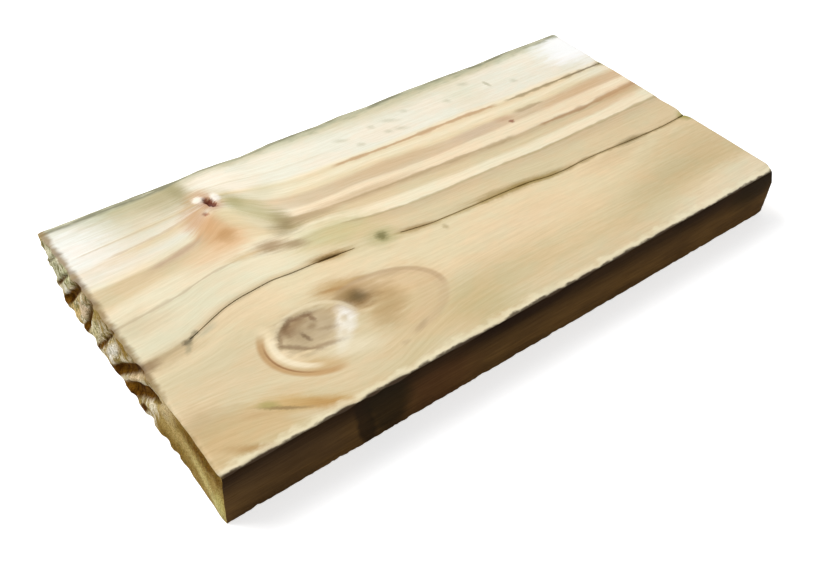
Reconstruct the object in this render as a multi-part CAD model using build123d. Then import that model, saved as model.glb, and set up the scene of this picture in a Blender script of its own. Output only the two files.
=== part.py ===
"""A short offcut of sawn softwood board, lying on its wide face.

X runs along the grain, from the torn end at -X to the sawn end at +X.
The front edge is at -Y and the underside is at Z = 0.
Places on the board are given as distances from the torn end and from the front edge.
"""
import math
import os

from build123d import *

# The blank: nominal five-quarter by six softwood, sawn off short.
LENGTH = 279.0
WIDTH = 139.7
THICKNESS = 25.4
ARRIS_EASE = 0.5

# The sawn end is a little out of square, and its top front corner is knocked off.
END_SKEW = 3.0
CHIPPED_CORNER_ALONG = 4.0
CHIPPED_CORNER_ACROSS = 7.0
CHIPPED_CORNER_DOWN = 8.5

# The wane, where the board reached the outside of the log, follows the top back edge.
# Each station is (distance from an end, width on the face, drop down the edge).
WANE_FROM_TORN = [(0.0, 5.0, 1.8), (30.0, 5.6, 2.2), (52.0, 5.4, 2.4), (61.0, 3.2, 2.6), (70.0, 2.2, 1.4),
                  (80.0, 2.8, 1.8), (89.0, 4.4, 3.4), (104.0, 3.2, 1.6)]
WANE_FROM_SAWN = [(122.0, 4.6, 2.0), (104.0, 3.0, 1.4), (78.0, 3.2, 1.6), (36.0, 4.4, 2.0), (0.0, 4.0, 2.2)]

# The torn end. Behind a smooth hollowed stretch at the front, the fibres broke off in
# bundles, with a furrow between each two that slants back towards the underside.
TORN_START = 43.0
BUNDLE_PITCH = 9.2
BUNDLE_CREST = 1.1
FURROW_DEPTH = 3.6
FURROW_SLANT = 7.0
HOLLOW_START = 4.0
HOLLOW_DEPTH = 0.9
CORNER_BREAK_ALONG = 3.0
CORNER_BREAK_ACROSS = 19.0
CORNER_BREAK_UP = 17.0

# Pockets under the top edge, where the short fibres fell out from between the bundles.
# Each is (distance from the front edge, width, height); all stop the same way below the top.
POCKETS = [(55.0, 15.0, 10.0), (76.0, 7.0, 9.0), (89.0, 5.5, 12.0), (104.0, 6.0, 8.0)]
POCKET_ROOF = 1.8
POCKET_DEPTH = 5.2

# The long season check opened along a growth ring and runs out of the sawn end.
# Each station is (distance from an end, distance from the front edge, gap, depth).
CHECK_FROM_TORN = [(17.0, 55.6, 0.2, 0.8), (25.0, 58.0, 0.5, 2.4), (40.0, 64.0, 0.5, 4.0),
                   (60.0, 66.0, 0.6, 5.0)]
CHECK_FROM_SAWN = [(171.0, 61.8, 0.7, 6.0), (154.0, 59.0, 0.6, 6.0), (129.0, 57.0, 0.7, 6.0),
                   (87.0, 53.2, 0.9, 7.0), (57.0, 52.0, 0.7, 7.5), (27.0, 50.6, 0.6, 8.0),
                   (0.0, 51.4, 0.9, 9.0)]

# A finer check on a ring further back.
FINE_CHECK_FROM_SAWN = [(161.0, 110.0, 0.2, 0.6), (138.0, 108.6, 0.35, 1.6), (78.0, 106.0, 0.4, 2.0),
                        (38.0, 105.0, 0.4, 2.4), (0.0, 105.0, 0.6, 3.0)]

# The large knot: a sunken heart with radial checks, inside a ring that has let go on one side.
KNOT_AT = (58.5, 36.5)
HEART_LONG = 31.0
HEART_WIDE = 19.0
HEART_SINK = 0.7
HEART_CHECKS = 5
HEART_CHECK_GAP = 1.4
HEART_CHECK_DEPTH = 2.6
COLLAR_LONG = 41.0
COLLAR_WIDE = 33.0
COLLAR_DEPTH = 1.8
COLLAR_SHIFT = (1.7, 1.1)

# The small knot has fallen out and left a tapered hole. A pin knot sits on the check,
# at its first station from the sawn end.
HOLE_AT = (62.6, 119.0)
HOLE_LONG = 6.4
HOLE_WIDE = 10.0
HOLE_DEPTH = 5.0
HOLE_TAPER = 0.5
PIN_DIAMETER = 3.4
PIN_DEPTH = 1.6

# Chips out of the front top edge, as (distance from the torn end, length, depth).
FRONT_CHIPS = [(16.0, 14.0, 1.0), (47.0, 9.0, 1.1), (69.0, 12.0, 0.9), (101.0, 18.0, 0.8)]

OVERRUN = 1.0  # how far each cut starts outside the wood


def along(distance):
    """X of a place that lies this far from the torn end."""
    return distance - LENGTH / 2


def across(distance):
    """Y of a place that lies this far from the front edge."""
    return distance - WIDTH / 2


def from_both_ends(from_torn, from_sawn):
    """Join stations measured from the two ends, and carry the row out past each end it starts at."""
    stations = [(along(distance), *rest) for distance, *rest in from_torn]
    stations += [(along(LENGTH - distance), *rest) for distance, *rest in from_sawn]
    if from_torn and from_torn[0][0] == 0:
        stations.insert(0, (stations[0][0] - OVERRUN, *stations[0][1:]))
    stations.append((stations[-1][0] + OVERRUN, *stations[-1][1:]))
    return stations


def cross_section(x, corners):
    """A face across the board at x, from its (y, z) corners."""
    return make_face(Polyline([Vector(x, y, z) for y, z in corners], close=True))


def blank():
    """The sawn board with its long edges just eased."""
    box = Box(LENGTH, WIDTH, THICKNESS, align=(Align.CENTER, Align.CENTER, Align.MIN))
    return chamfer(box.edges().filter_by(Axis.X), ARRIS_EASE)


def sawn_end_cut():
    """The wedge that the skewed saw cut took off, from nothing at the front to END_SKEW at the back."""
    plan = make_face(Polyline([Vector(along(LENGTH), across(0), -OVERRUN),
                               Vector(along(LENGTH) + OVERRUN, across(0), -OVERRUN),
                               Vector(along(LENGTH) + OVERRUN, across(WIDTH), -OVERRUN),
                               Vector(along(LENGTH - END_SKEW), across(WIDTH), -OVERRUN)], close=True))
    return extrude(plan, amount=THICKNESS + 2 * OVERRUN, dir=(0, 0, 1))


def wane_cut():
    """The wood that was never there along the top back edge."""
    sections = []
    for x, width, drop in from_both_ends(WANE_FROM_TORN, WANE_FROM_SAWN):
        inner = across(WIDTH - 1.5 * width)
        outer = across(WIDTH + 0.5 * width)
        low = THICKNESS - 1.5 * drop
        high = THICKNESS + 0.5 * drop
        sections.append(cross_section(x, [(inner, high), (outer, low), (outer, high)]))
    return loft(sections, ruled=True)


def check_cut(from_torn, from_sawn):
    """A drying check: a V that follows the grain and runs out of the sawn end."""
    sections = []
    for x, distance, gap, depth in from_both_ends(from_torn, from_sawn):
        centre = across(distance)
        half = gap / 2 * (depth + OVERRUN) / depth
        top = THICKNESS + OVERRUN
        sections.append(cross_section(x, [(centre - half, top), (centre + half, top), (centre, THICKNESS - depth)]))
    return loft(sections, ruled=True)


def break_outline(height):
    """The break at this height, as a face that holds the air between it and the end of the blank."""
    fall = 1 - height / THICKNESS
    count = math.ceil((WIDTH - TORN_START) / BUNDLE_PITCH)
    outside = along(0) - OVERRUN
    start = across(TORN_START + FURROW_SLANT * fall)
    corners = [Vector(outside, start, height)]
    for index in range(2 * count):
        in_furrow = index % 2 == 0
        uneven = math.sin(2.3 * index + 1.9 * fall)
        back = BUNDLE_PITCH * (0.5 * (index + 1) + 0.13 * uneven)
        if in_furrow:
            depth = FURROW_DEPTH * (0.72 + 0.28 * math.sin(1.9 * index + 1.4 * fall))
        else:
            depth = BUNDLE_CREST * (0.6 + 0.4 * math.cos(1.3 * index + 2.6 * fall))
        corners.append(Vector(along(depth), start + back, height))
    corners.append(Vector(outside, start + BUNDLE_PITCH * (count + 1), height))
    return make_face(Polyline(corners, close=True))


def pocket_cut(distance, width, height):
    """A pocket under the top edge that narrows to a slot at its back."""
    y = across(distance)
    mouth_z = THICKNESS - POCKET_ROOF - height / 2
    sections = []
    for x, share in ((along(0) - OVERRUN, 1.0), (along(POCKET_DEPTH), 0.35)):
        half_width = width / 2 * share
        half_height = height / 2 * share
        rise = height / 2 * (1 - share) * 0.6
        corners = [(y - half_width, mouth_z - half_height + rise), (y + half_width, mouth_z - half_height + rise),
                   (y + half_width * 0.7, mouth_z + half_height + rise),
                   (y - half_width * 0.8, mouth_z + half_height * 0.8 + rise)]
        sections.append(cross_section(x, corners))
    return loft(sections, ruled=True)


def torn_end_cuts():
    """The break between the bundles, its pockets, and the smooth hollow in front of them."""
    heights = [-OVERRUN, THICKNESS * 0.42, THICKNESS + OVERRUN]
    cuts = [loft([break_outline(height) for height in heights], ruled=True)]
    cuts += [pocket_cut(distance, width, height) for distance, width, height in POCKETS]

    chord = TORN_START - HOLLOW_START
    radius = (chord ** 2 / 4 + HOLLOW_DEPTH ** 2) / (2 * HOLLOW_DEPTH)
    hollow = Cylinder(radius, THICKNESS + 2 * OVERRUN, align=(Align.CENTER, Align.CENTER, Align.MIN))
    cuts.append(Pos(along(HOLLOW_DEPTH - radius), across(HOLLOW_START + chord / 2), -OVERRUN) * hollow)
    return cuts


def lost_corner_plane(corner, along_edge, across_edge, upright_edge):
    """The plane that cuts a corner off through these three offsets along its edges, facing the wood."""
    first = corner + Vector(along_edge, 0, 0)
    second = corner + Vector(0, across_edge, 0)
    third = corner + Vector(0, 0, upright_edge)
    normal = (second - first).cross(third - first)
    if normal.dot(first - corner) < 0:
        normal = -normal
    return Plane(origin=first, z_dir=normal)


def tapered_oval(place, long, wide, depth, taper):
    """An oval cutter that goes in from the top face and narrows to a share of its size."""
    x = along(place[0])
    y = across(place[1])
    mouth = Pos(x, y, THICKNESS) * Ellipse(long / 2, wide / 2)
    floor = Pos(x, y, THICKNESS - depth) * Ellipse(long / 2 * taper, wide / 2 * taper)
    lid = extrude(mouth, amount=OVERRUN, dir=(0, 0, 1))
    return loft([floor, mouth]) + lid


def knot_cuts():
    """The large knot: sunken heart, its radial checks and the open crescent of its ring."""
    heart = tapered_oval(KNOT_AT, HEART_LONG, HEART_WIDE, HEART_SINK, 0.9)
    collar = tapered_oval(KNOT_AT, COLLAR_LONG, COLLAR_WIDE, COLLAR_DEPTH, 0.92)
    shifted = (KNOT_AT[0] + COLLAR_SHIFT[0], KNOT_AT[1] + COLLAR_SHIFT[1])
    closed_side = Pos(along(shifted[0]), across(shifted[1]), THICKNESS - COLLAR_DEPTH - OVERRUN)
    kept = closed_side * extrude(Ellipse(COLLAR_LONG / 2 - 0.6, COLLAR_WIDE / 2 - 0.6),
                                 amount=COLLAR_DEPTH + 3 * OVERRUN)
    cuts = [heart, collar - kept]

    for index in range(HEART_CHECKS):
        angle = math.radians(360 / HEART_CHECKS * index + 24 * math.sin(2.1 * index))
        reach = Vector(HEART_LONG / 2 * math.cos(angle), HEART_WIDE / 2 * math.sin(angle), 0)
        side = Vector(-math.sin(angle), math.cos(angle), 0) * (HEART_CHECK_GAP / 2)
        centre = Vector(along(KNOT_AT[0]), across(KNOT_AT[1]), THICKNESS - HEART_CHECK_DEPTH)
        corners = [centre + reach * 0.12 - side, centre + reach * 0.95, centre + reach * 0.12 + side]
        plan = make_face(Polyline(corners, close=True))
        cuts.append(extrude(plan, amount=HEART_CHECK_DEPTH + OVERRUN, dir=(0, 0, 1)))
    return cuts


def front_chip_cut(distance, length, depth):
    """A shallow scallop out of the front top edge, deepest at its middle."""
    radius = (length ** 2 / 4 + depth ** 2) / (2 * depth)
    scallop = Rot(-45, 0, 0) * Cylinder(radius, 4 * depth, align=(Align.CENTER, Align.CENTER, Align.CENTER))
    offset = (radius - depth) / math.sqrt(2)
    return Pos(along(distance), across(0) - offset, THICKNESS + offset) * scallop


def plank():
    """The whole board."""
    board = blank() - sawn_end_cut() - wane_cut()
    board -= check_cut(CHECK_FROM_TORN, CHECK_FROM_SAWN)
    board -= check_cut([], FINE_CHECK_FROM_SAWN)
    for cut in torn_end_cuts() + knot_cuts():
        board -= cut
    low_back = lost_corner_plane(Vector(along(0), across(WIDTH), 0),
                                 CORNER_BREAK_ALONG, -CORNER_BREAK_ACROSS, CORNER_BREAK_UP)
    top_front = lost_corner_plane(Vector(along(LENGTH), across(0), THICKNESS),
                                  -CHIPPED_CORNER_ALONG, CHIPPED_CORNER_ACROSS, -CHIPPED_CORNER_DOWN)
    board = split(board, bisect_by=low_back, keep=Keep.TOP)
    board = split(board, bisect_by=top_front, keep=Keep.TOP)
    board -= tapered_oval(HOLE_AT, HOLE_LONG, HOLE_WIDE, HOLE_DEPTH, HOLE_TAPER)
    pin_from_sawn, pin_across = CHECK_FROM_SAWN[0][:2]
    board -= tapered_oval((LENGTH - pin_from_sawn, pin_across), PIN_DIAMETER, PIN_DIAMETER, PIN_DEPTH, HOLE_TAPER)
    for distance, length, depth in FRONT_CHIPS:
        board -= front_chip_cut(distance, length, depth)
    return board


os.makedirs("parts", exist_ok=True)
export_step(plank(), "parts/plank.step")
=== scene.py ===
"""A short offcut of sawn softwood board, given its grain, knots, checks and weathered edges.

Places on the board are in millimetres: along it from the torn end, across it from the
dark front edge, and up from the underside.
"""
import math

import bmesh
import bpy
import numpy as np
from mathutils import Matrix, Vector, noise


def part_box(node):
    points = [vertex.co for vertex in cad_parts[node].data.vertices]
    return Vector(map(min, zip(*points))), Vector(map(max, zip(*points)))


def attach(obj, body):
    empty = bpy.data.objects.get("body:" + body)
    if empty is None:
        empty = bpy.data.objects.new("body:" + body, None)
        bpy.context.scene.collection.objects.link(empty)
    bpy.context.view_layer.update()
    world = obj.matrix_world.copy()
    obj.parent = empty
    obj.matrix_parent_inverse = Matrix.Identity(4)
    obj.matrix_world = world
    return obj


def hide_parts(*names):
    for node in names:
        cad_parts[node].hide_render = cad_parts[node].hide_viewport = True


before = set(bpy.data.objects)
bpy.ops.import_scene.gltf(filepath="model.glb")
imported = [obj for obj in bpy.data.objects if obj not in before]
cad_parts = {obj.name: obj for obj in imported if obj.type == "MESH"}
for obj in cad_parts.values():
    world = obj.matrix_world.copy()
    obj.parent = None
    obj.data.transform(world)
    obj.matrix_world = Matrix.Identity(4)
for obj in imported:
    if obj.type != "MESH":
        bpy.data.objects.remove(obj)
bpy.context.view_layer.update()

# The board: one length of sawn softwood, a nominal five-quarter by six. Its faces are
# modelled as a net whose rows run along the growth rings, so relief follows the grain.
MM = 0.001
board_low, board_high = (Vector(corner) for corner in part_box("plank"))
LENGTH, WIDTH, THICKNESS = (board_high - board_low) / MM

# Where each growth line shows on the top face. A line is named by its distance from the
# front edge at the sawn end, and its points are (along, across).
GROWTH_LINES = {
    0: [(0, 0)],
    17: [(0, 22), (12, 20), (20, 18.2), (27, 15.5), (36, 10.6), (45, 6.4), (55, 4), (66, 3.4), (76, 5),
         (86, 8.6), (96, 12.4), (110, 16), (130, 17.5), (200, 17), (279, 16)],
    34: [(0, 37), (30, 36.5), (58, 35), (80, 33.5), (110, 31.5), (135, 33), (279, 34)],
    51.5: [(0, 54.6), (10, 55), (19, 56.2), (24, 58), (30, 60.4), (38, 63.4), (45, 64.8), (60, 66),
           (68, 65), (80, 64.5), (95, 63), (108.5, 61.8), (120, 59.4), (130, 57.7), (150, 56.6),
           (170, 55.8), (180, 55.2), (190, 53.2), (200, 52.5), (210, 53), (222, 52.7), (240, 51.5),
           (260, 50.7), (279, 51.4)],
    70: [(0, 75), (10, 76), (20, 77), (30, 78.2), (36, 80), (45, 81.8), (55, 82.3), (65, 81), (74, 79.6),
         (92, 79.2), (100, 77.8), (110, 75), (120, 73.3), (130, 72), (150, 71), (180, 70.4), (200, 69),
         (279, 69.4)],
    76.5: [(0, 84), (15, 86.5), (28, 88), (62, 88.4), (72, 87), (82, 85.2), (90, 85.6), (98, 84.8),
           (110, 82), (120, 80.5), (140, 78.5), (160, 76.8), (180, 76), (200, 75.4), (240, 76), (260, 77.4),
           (279, 78)],
    84: [(0, 96.5), (20, 96.8), (30, 97.2), (40, 99), (47, 101), (54, 106), (60, 112), (64, 113.2),
         (68, 110), (72, 104), (76, 98), (80, 94), (84, 91.8), (98, 89.5), (110, 88.2), (130, 86.8),
         (150, 85.8), (170, 85), (190, 83.3), (213, 83.5), (240, 82.4), (265, 83.6), (279, 84)],
    91: [(0, 104.5), (20, 104.8), (40, 106), (50, 109), (57, 113.6), (63, 116), (70, 113), (75, 107),
         (80, 101), (87, 97), (96, 95), (120, 94.5), (140, 92.6), (160, 91.5), (279, 91)],
    97.5: [(0, 110), (20, 110.5), (40, 112), (52, 114.8), (64, 118.4), (70, 117), (76, 112), (82, 107),
           (90, 103.5), (100, 101.6), (120, 100.6), (138, 101), (150, 99.6), (160, 98.3), (185, 97.2),
           (230, 96.4), (265, 97.6), (279, 96.5)],
    106: [(0, 117), (30, 118), (50, 118.8), (64, 120.6), (70, 119.6), (76, 117.5), (84, 114.5), (95, 112),
          (106, 110.6), (118, 110), (150, 108.2), (170, 107.9), (190, 107.5), (200, 106.5), (222, 105.6),
          (279, 105)],
    125: [(0, 127), (50, 128), (64, 130), (76, 130), (90, 127.4), (110, 125.6), (279, 125)],
    WIDTH: [(0, WIDTH)],
}


def stations(*stretches):
    """Places along a stretch-by-stretch rule of (start, end, spacing)."""
    places = [stretches[0][0]]
    for start, end, spacing in stretches:
        steps = max(1, round((end - start) / spacing))
        places.extend(np.linspace(start, end, steps + 1)[1:])
    return np.array(places)


columns = stations((0, 8, 0.55), (8, 36, 1.25), (36, 52, 0.62), (52, 92, 0.88), (92, 114, 1.2),
                   (114, LENGTH - 6, 1.95), (LENGTH - 6, LENGTH, 0.8))
rows = stations((0, 2, 0.5), (2, 14, 1.25), (14, 50.1, 0.86), (50.1, 50.9, 0.4), (50.9, 52.1, 0.2),
                (52.1, 52.9, 0.4), (52.9, 70, 1.14), (70, 105.4, 1.12), (105.4, 106.6, 0.3),
                (106.6, 118, 1.26), (118, WIDTH, 0.8))
levels = stations((0, 0.7, 0.35), (0.7, THICKNESS - 0.7, 1.0), (THICKNESS - 0.7, THICKNESS, 0.35))


def growth_line_places(along):
    """How far across each growth line lies, for each place along the board."""
    fine = np.arange(0.0, LENGTH + 1.0, 1.0)
    window = np.hanning(9)
    window /= window.sum()
    lines = []
    for points in GROWTH_LINES.values():
        places, across = zip(*points)
        line = np.interp(fine, places, across)
        line = np.convolve(np.pad(line, 4, mode="edge"), window, mode="valid")
        lines.append(np.interp(along, fine, line))
    return np.array(lines)


line_names = np.array(list(GROWTH_LINES), dtype=float)
line_places = growth_line_places(columns)

net = bmesh.new()
bmesh.ops.create_grid(net, x_segments=len(columns) - 1, y_segments=len(rows) - 1, size=0.5)
drawn = bmesh.ops.extrude_face_region(net, geom=net.faces[:], use_keep_orig=True)
lower = [item for item in drawn["geom"] if isinstance(item, bmesh.types.BMVert)]
bmesh.ops.translate(net, vec=(0, 0, -1), verts=lower)
upright = [edge for edge in net.edges if abs(edge.verts[0].co.z - edge.verts[1].co.z) > 0.5]
bmesh.ops.subdivide_edges(net, edges=upright, cuts=len(levels) - 2, use_grid_fill=True)
bmesh.ops.recalc_face_normals(net, faces=net.faces[:])

board_mesh = bpy.data.meshes.new("sawn_board")
net.to_mesh(board_mesh)
net.free()

unit = np.empty(len(board_mesh.vertices) * 3)
board_mesh.vertices.foreach_get("co", unit)
unit = unit.reshape(-1, 3)
column = np.rint((unit[:, 0] + 0.5) * (len(columns) - 1)).astype(int)
row = np.rint((unit[:, 1] + 0.5) * (len(rows) - 1)).astype(int)
level = np.rint((unit[:, 2] + 1) * (len(levels) - 1)).astype(int)

along = columns[column]
ring_place = rows[row]
row_tables = np.array([np.interp(rows, line_names, line_places[:, i]) for i in range(len(columns))])
across = row_tables[column, row]
height = levels[level]

# The sawn faces: not quite flat, with the harder late wood standing a little proud and
# the fibre slightly raised all over.
FACE_ALLOWANCE = 0.3


def grain_noise(sizes, seed, places=None):
    """Smooth noise from -1 to 1, with features of these sizes along, across and up the board."""
    if places is None:
        places = zip(along, across, height)
    offset = Vector((seed * 7.3, seed * 3.1, seed * 5.7))
    return np.array([noise.noise(Vector((x / sizes[0], y / sizes[1], z / sizes[2])) + offset)
                     for x, y, z in places])


def bell(offset, breadth):
    """A smooth swell, 1 in its middle and gone some two breadths out."""
    return np.exp(-(offset / breadth) ** 2)


broad = grain_noise((70, 40, 60), 1)
flow = grain_noise((34, 1.6, 30), 2, zip(along, ring_place, height))
fuzz = grain_noise((7, 0.9, 9), 3, zip(along, ring_place, height))
late_wood = np.zeros(len(along))
for line, breadth in ((70, 1.2), (83.5, 2.0), (97, 2.0), (106, 0.9), (119, 1.2), (130, 1.4)):
    late_wood += bell(ring_place - line, breadth)
top = THICKNESS - FACE_ALLOWANCE + 0.10 * broad + 0.04 * flow + 0.015 * fuzz + 0.08 * late_wood

# The drying check: a V that opened along one growth ring and runs out of the sawn end.
# It pinches nearly shut short of the pin knot, and gapes where the ring lets go.
CHECK_LINE = 51.5
CHECK_DEPTH = 6.0
WIDER_AND_TIGHTER = [  # along, reach, added gape
    (84, 5, 0.08), (111, 7, -0.1), (123, 5, 0.06), (142, 8, -0.05), (176, 11, 0.09), (207, 7, -0.04),
    (228, 8, 0.04), (250, 6, 0.08), (277, 4, 0.18)]


def ease(values, start, end):
    """A smooth step from 0 at start to 1 at end."""
    share = np.clip((values - start) / (end - start), 0, 1)
    return share * share * (3 - 2 * share)


def near(distance, reach):
    """1 at no distance, falling evenly to 0 at this reach."""
    return np.clip(1 - distance / reach, 0, 1)


from_check = np.abs(ring_place - CHECK_LINE)
open_share = ease(along, 17, 26) * (1 - 0.9 * ease(along, 93, 97) * (1 - ease(along, 112, 119)))
gape = 0.18 - 0.06 * ease(along, 92, 108) + 0.03 * grain_noise((9, 400, 400), 4)
for place, reach, extra in WIDER_AND_TIGHTER:
    gape += extra * bell(along - place, reach)
gape = np.clip(gape * open_share * (0.72 + 0.28 * ease(along, 70, 80)), 0.02, 0.8)
check_wall = open_share * ease(gape, 0.05, 0.12) * near(from_check, gape)
top -= CHECK_DEPTH * check_wall
top -= 0.10 * open_share * bell(from_check, 1.2)

# A finer check further back, on the ring that shows as the second dark line. It is a
# shallow groove that deepens towards the sawn end.
FINE_LINE = 106.0
FINE_GAPE = 0.32
fine_open = ease(along, 118, 124) * (1 - ease(along, 204, 208) * (1 - ease(along, 212, 216)))
from_fine = np.abs(ring_place - FINE_LINE)
top -= (0.12 + 0.5 * ease(along, 225, 279)) * fine_open * near(from_fine, FINE_GAPE)

# The large knot: a sunken, splintered heart inside a ring that has let go on its left,
# with torn grain and a punky hollow on its right.
HEART_AT = (57.6, 37.4)
HEART_SIZE = (13.2, 8.9)
KNOT_RING_AT = (60.0, 34.0)
KNOT_RING_SIZE = (20.8, 16.8)
SWIRL_AT = (86.2, 31.0)
SWIRL_SIZE = (26.6, 16.6)
HEART_SUNK = 0.55
HOLLOW_DEPTH = 0.55
RING_LET_GO = math.radians(205)
HEART_GAPS = [  # centre, size, turn, depth
    ((46.6, 39.6), (1.0, 3.6), -32, 0.35), ((53.4, 44.4), (3.8, 0.9), 18, 0.45),
    ((61.0, 43.8), (3.6, 0.9), -10, 0.4), ((50.6, 38.8), (0.8, 2.2), -8, 0.25),
    ((54.6, 35.0), (0.8, 2.2), 14, 0.25), ((51.0, 31.6), (7.0, 0.9), -31, 0.2),
    ((61.5, 38.6), (0.9, 4.2), 26, 0.2)]


def oval(centre, size, turn):
    """1 at the rim of an oval, less inside it, for every vertex. Turn is in degrees."""
    dx = along - centre[0]
    dy = across - centre[1]
    cosine = math.cos(math.radians(turn))
    sine = math.sin(math.radians(turn))
    return np.hypot((dx * cosine + dy * sine) / size[0], (dy * cosine - dx * sine) / size[1])


ragged = grain_noise((4, 4, 40), 5)
coarse = grain_noise((2.2, 2.2, 40), 6)
heart = oval(HEART_AT, HEART_SIZE, 8) + 0.07 * ragged
inside_heart = 1 - ease(heart, 0.84, 1.04)
top -= inside_heart * (HEART_SUNK + 0.16 * ragged + 0.07 * coarse)
for centre, size, turn, depth in HEART_GAPS:
    top -= depth * (1 - ease(oval(centre, size, turn) + 0.1 * coarse, 0.25, 1.25))
ring_angle = np.arctan2(across - KNOT_RING_AT[1], along - KNOT_RING_AT[0])
turned_from_left = np.abs(np.angle(np.exp(1j * (ring_angle - RING_LET_GO))))
ring_open = 1 - ease(turned_from_left, math.radians(34), math.radians(66))
knot_ring = oval(KNOT_RING_AT, KNOT_RING_SIZE, 0)
top -= 0.26 * ring_open * (1 - ease(np.abs(knot_ring - 1.02), 0.0, 0.12))
top += 0.14 * ring_open * bell(knot_ring - 0.88, 0.08)
hollow = oval((79.4, 38.4), (5.0, 5.4), 15) + 0.16 * ragged
top -= (1 - ease(hollow, 0.2, 1.15)) * (HOLLOW_DEPTH + 0.06 * coarse)
torn_grain = oval((69.0, 32.0), (4.6, 10.0), -20) + 0.15 * ragged
top += (1 - ease(torn_grain, 0.6, 1.1)) * (0.06 + 0.10 * coarse)
swirl = oval(SWIRL_AT, SWIRL_SIZE, -4)
top -= 0.10 * bell(swirl - 1, 0.04) * ease(along, 84, 94)

# The small knot dropped out and left a slanting hole between two tufts of torn fibre.
# A speck of a knot lies beside it, and a pin knot sits on the check.
HOLE_DEPTH = 2.4
TUFTS_AND_DIPS = [  # centre, size, turn, rise
    ((60.2, 121.6), (2.2, 2.1), 0, 0.30), ((66.8, 119.2), (1.6, 3.2), 0, 0.30),
    ((58.5, 112.5), (1.2, 1.1), 0, -0.5), ((108.5, 62.4), (2.5, 2.4), 0, -0.35),
    ((82.5, 88.6), (3.2, 2.8), 0, -0.4)]
hole = oval((63.5, 118.2), (2.0, 3.9), 17) + 0.06 * coarse
top -= HOLE_DEPTH * (1 - ease(hole, 0.3, 1.05))
for centre, size, turn, rise in TUFTS_AND_DIPS:
    top += rise * (1 - ease(oval(centre, size, turn) + 0.1 * coarse, 0.4, 1.1))

# The back top arris rolls off, where the board reached the outside of the log. It does so
# more in some stretches than in others.
WANE = [  # along, width, drop
    (0, 5.0, 1.0), (30, 5.6, 1.2), (52, 5.4, 1.3), (61, 3.2, 1.3), (70, 2.2, 0.6), (80, 2.8, 1.0),
    (89, 4.4, 1.9), (104, 3.2, 0.8), (128, 3.6, 1.2), (141, 3.0, 0.7), (157, 4.6, 1.2), (175, 3.0, 0.7),
    (201, 3.2, 0.9), (222, 4.6, 1.4), (243, 3.4, 0.8), (262, 5.0, 1.2), (279, 4.0, 1.2)]
wane_at, wane_widths, wane_drops = (np.array(values, dtype=float) for values in zip(*WANE))
wane_width = np.interp(along, wane_at, wane_widths) + 0.5 * grain_noise((9, 400, 400), 7)
wane_drop = np.interp(along, wane_at, wane_drops)
into_wane = np.clip((across - (WIDTH - wane_width)) / wane_width, 0, 1)
top -= wane_drop * (0.3 * into_wane + 0.7 * into_wane ** 3) * (1 + 0.12 * ragged)

# The front top arris is crisp, with a few chips, and the end arrises are a little worn.
# Each chip is (along, half length, depth).
CHIPS = [
    (3, 4, 0.5), (16, 9, 0.7), (47, 5, 0.9), (59, 3, 0.8), (69, 6, 0.9), (101, 8, 0.6), (143, 5, 0.7),
    (160, 5, 0.7), (180, 5, 0.6), (203, 7, 0.6), (226, 4, 0.5), (251, 5, 0.5)]


def arch(offset, half_width):
    """1 in its middle, rounding down to 0 at this half width."""
    return np.clip(1 - (offset / half_width) ** 2, 0, 1)


arris_wear = 0.3 + 0.2 * grain_noise((5, 400, 400), 8)
for place, reach, depth in CHIPS:
    arris_wear += depth * arch(along - place, reach)
front_loss = arris_wear * near(across, 0.7 + arris_wear) ** 1.5
top -= front_loss
top -= 0.4 * near(LENGTH - along, 1.2) ** 2
top -= (0.35 + 0.4 * ragged) * near(along, 2.0) ** 1.5
top = np.minimum(top, THICKNESS)

# The underside is plain sawn wood that lies flat, with just-eased arrises and a few
# nicks along its front one.
from_side = np.minimum(np.minimum(across, WIDTH - across), np.minimum(along, LENGTH - along))
foot_nicks = (np.maximum(grain_noise((3.4, 400, 400), 17), 0)
              + np.maximum(grain_noise((1.5, 400, 400), 19), 0))
bottom = 0.15 * near(from_side, 0.9) ** 1.6 + 0.9 * foot_nicks * near(across, 1.4)
rise_share = height / THICKNESS
up = bottom + (top - bottom) * rise_share

# The torn end: smooth and a little hollow at the front, then fibre bundles that broke off
# at different lengths, with slanting furrows between them and the low back corner gone.
BREAK_REACH = 12.0
FURROWS = [  # across at the top, across at the foot, lowest and highest point, half breadth, depth, stain and painted shade
    (38.5, 69.5, -6, 22, 6.4, 3.2, 0.95), (54.5, 80, -6, 30, 4.2, 3.2, 1.0),
    (75.5, 94, -6, 30, 2.0, 2.4, 0.9), (93, 105.5, -6, 30, 2.6, 2.6, 0.9),
    (103, 124, -2, 30, 3.4, 3.0, 1.0), (46, 58, -3, 5, 2.8, 1.0, 0.8), (112, 134, 3, 30, 1.8, 1.8, 0.7),
    (123, 147, 8, 30, 1.4, 1.5, 0.6), (85, 99, 6, 22, 1.0, 1.2, 0.5), (66, 84, 8, 30, 1.0, 1.2, 0.5)]
FOOT_NOTCHES = [  # across, half breadth, depth
    (26, 3, 0.3), (33.5, 2.2, 0.6), (41, 3, 0.75), (52.5, 3, 1.1), (64.5, 3, 0.8), (75, 3.5, 0.6),
    (88, 3, 0.4), (99.5, 4.2, 1.1), (108, 1.6, 0.6), (117, 3, 0.7)]
lumps = grain_noise((400, 4.6, 6.0), 11, zip(along, across + 0.9 * height, height))
crumbs = grain_noise((400, 1.6, 3.4), 12, zip(along, across + 0.9 * height, height))
torn = ease(across + 0.36 * height, 46, 52)
end_depth = torn * (0.55 + 0.65 * lumps + 0.3 * crumbs)
# The pockets are darkened by stain and by painted shade.
furrow_stain_and_shade = np.zeros(len(along))
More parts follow.
